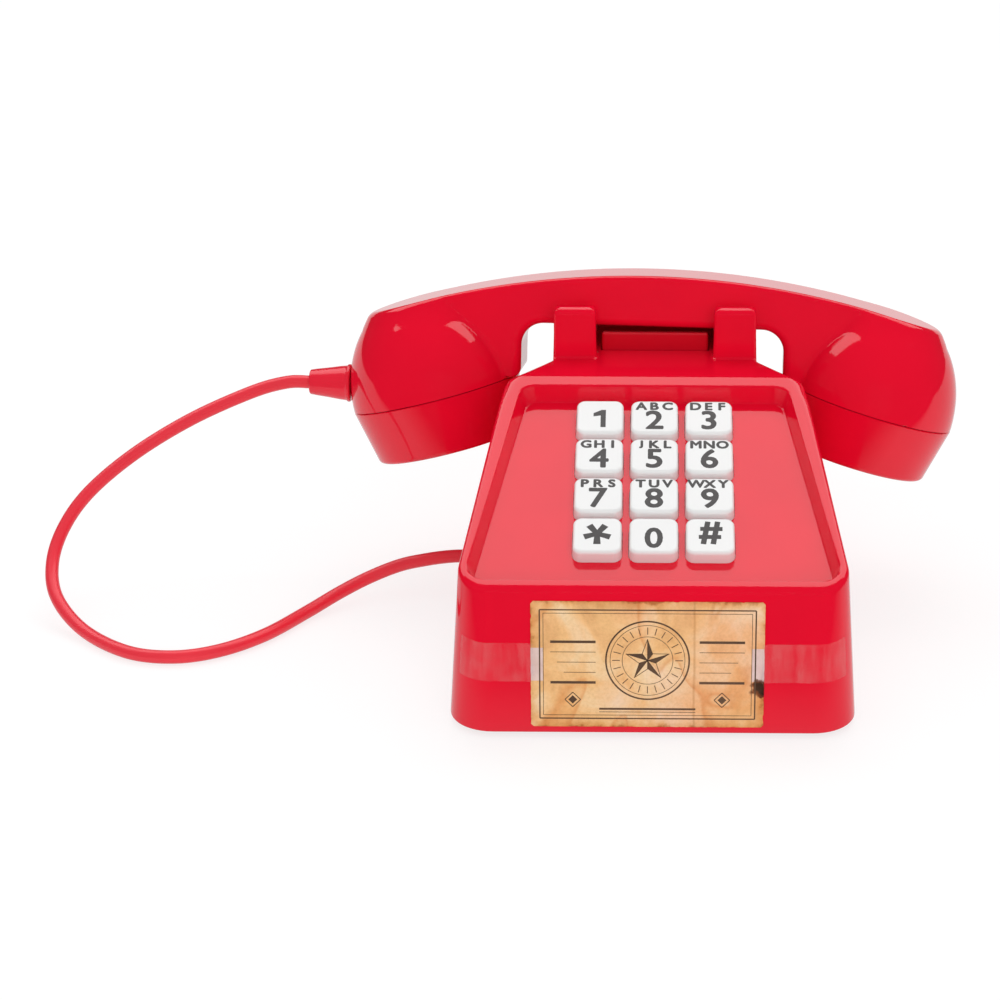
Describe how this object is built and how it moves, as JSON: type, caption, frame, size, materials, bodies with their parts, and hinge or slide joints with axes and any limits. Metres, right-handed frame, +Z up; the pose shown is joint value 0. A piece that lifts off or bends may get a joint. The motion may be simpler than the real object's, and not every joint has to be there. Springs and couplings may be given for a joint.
{
  "type": "desk telephone",
  "caption": "Push-button desk telephone in glossy plastic: base with sunk sloping key panel, cradle lugs, hook bar, corded handset and a taped paper card.",
  "frame": {"origin": "on the table under the middle of the base, at the level of the rubber feet's faces", "axes": "+X to the right as one dials, +Y towards the back, +Z up"},
  "size_m": [0.3315, 0.1751, 0.1169],
  "materials": {
    "red_shell": "polished injection-moulded plastic",
    "red_cap": "polished injection-moulded plastic",
    "red_bar": "polished plastic",
    "red_base": "fine satin plastic",
    "foot_rubber": "soft rubber",
    "screw_steel": "zinc-plated steel",
    "battery_jacket": "lacquered steel",
    "spring_steel": "nickel-plated steel",
    "membrane_rubber": "silicone rubber",
    "circuit_board": "solder resist over glass fibre",
    "speaker_frame": "moulded frame with paper cone",
    "magnet_steel": "plated steel",
    "inner_plastic": "moulded plastic",
    "cord_jacket": "smooth vinyl jacket",
    "relief_vinyl": "moulded vinyl",
    "card_paper": "printed aged paper",
    "clear_tape": "frosted clear tape",
    "key_white": "polished white plastic",
    "capsule_metal": "pressed aluminium can"
  },
  "bodies": {
    "base": {"housing": "red_shell", "bottom_cover": "red_base", "rubber_feet": "foot_rubber", "battery_door": "red_base", "door_screw": "screw_steel", "batteries": "battery_jacket", "battery_contacts": "spring_steel", "cover_screws": "screw_steel", "keypad_membrane": "membrane_rubber", "keypad_board": "circuit_board", "board_screws": "screw_steel", "main_board": "circuit_board", "main_board_screws": "screw_steel", "base_speaker": "speaker_frame", "speaker_magnet": "magnet_steel", "hook_bracket": "inner_plastic", "hook_spring": "spring_steel", "hook_switch": "inner_plastic", "bracket_screws": "screw_steel", "cord_clamp": "inner_plastic", "cord": "cord_jacket", "label_card": "card_paper", "tape_left": "clear_tape", "tape_right": "clear_tape"},
    "hook": {"hook_bar": "red_bar"},
    "handset": {"handset_shell": "red_shell", "earpiece_cap": "red_cap", "mouthpiece_cap": "red_cap", "earpiece_capsule": "capsule_metal", "microphone_capsule": "capsule_metal", "handset_weights": "magnet_steel", "weight_screws": "screw_steel", "strain_relief": "relief_vinyl"},
    "key_1_body": {"key_1": "key_white"},
    "key_2_body": {"key_2": "key_white"},
    "key_3_body": {"key_3": "key_white"},
    "key_4_body": {"key_4": "key_white"},
    "key_5_body": {"key_5": "key_white"},
    "key_6_body": {"key_6": "key_white"},
    "key_7_body": {"key_7": "key_white"},
    "key_8_body": {"key_8": "key_white"},
    "key_9_body": {"key_9": "key_white"},
    "key_star_body": {"key_star": "key_white"},
    "key_0_body": {"key_0": "key_white"},
    "key_hash_body": {"key_hash": "key_white"}
  },
  "joints": [
    {"name": "key_1_press", "type": "slide", "parent": "base", "child": "key_1_body", "axis": [0, 0.3714, -0.9285], "range_m": [0, 0.002], "stiffness_N_per_m": 300, "springref_m": -0.001},
    {"name": "key_2_press", "type": "slide", "parent": "base", "child": "key_2_body", "axis": [0, 0.3714, -0.9285], "range_m": [0, 0.002], "stiffness_N_per_m": 300, "springref_m": -0.001},
    {"name": "key_3_press", "type": "slide", "parent": "base", "child": "key_3_body", "axis": [0, 0.3714, -0.9285], "range_m": [0, 0.002], "stiffness_N_per_m": 300, "springref_m": -0.001},
    {"name": "key_4_press", "type": "slide", "parent": "base", "child": "key_4_body", "axis": [0, 0.3714, -0.9285], "range_m": [0, 0.002], "stiffness_N_per_m": 300, "springref_m": -0.001},
    {"name": "key_5_press", "type": "slide", "parent": "base", "child": "key_5_body", "axis": [0, 0.3714, -0.9285], "range_m": [0, 0.002], "stiffness_N_per_m": 300, "springref_m": -0.001},
    {"name": "key_6_press", "type": "slide", "parent": "base", "child": "key_6_body", "axis": [0, 0.3714, -0.9285], "range_m": [0, 0.002], "stiffness_N_per_m": 300, "springref_m": -0.001},
    {"name": "key_7_press", "type": "slide", "parent": "base", "child": "key_7_body", "axis": [0, 0.3714, -0.9285], "range_m": [0, 0.002], "stiffness_N_per_m": 300, "springref_m": -0.001},
    {"name": "key_8_press", "type": "slide", "parent": "base", "child": "key_8_body", "axis": [0, 0.3714, -0.9285], "range_m": [0, 0.002], "stiffness_N_per_m": 300, "springref_m": -0.001},
    {"name": "key_9_press", "type": "slide", "parent": "base", "child": "key_9_body", "axis": [0, 0.3714, -0.9285], "range_m": [0, 0.002], "stiffness_N_per_m": 300, "springref_m": -0.001},
    {"name": "key_star_press", "type": "slide", "parent": "base", "child": "key_star_body", "axis": [0, 0.3714, -0.9285], "range_m": [0, 0.002], "stiffness_N_per_m": 300, "springref_m": -0.001},
    {"name": "key_0_press", "type": "slide", "parent": "base", "child": "key_0_body", "axis": [0, 0.3714, -0.9285], "range_m": [0, 0.002], "stiffness_N_per_m": 300, "springref_m": -0.001},
    {"name": "key_hash_press", "type": "slide", "parent": "base", "child": "key_hash_body", "axis": [0, 0.3714, -0.9285], "range_m": [0, 0.002], "stiffness_N_per_m": 300, "springref_m": -0.001},
    {"name": "handset_lift", "type": "slide", "parent": "base", "child": "handset", "axis": [0, 0, 1], "range_m": [0, 0.08]},
    {"name": "hook_rise", "type": "slide", "parent": "base", "child": "hook", "axis": [0, 0, 1], "range_m": [0, 0.003], "deforming": ["hook_spring"]}
  ],
  "couplings": [
    {"joint": "hook_rise", "follows": "handset_lift", "ratio": 0.0375}
  ]
}
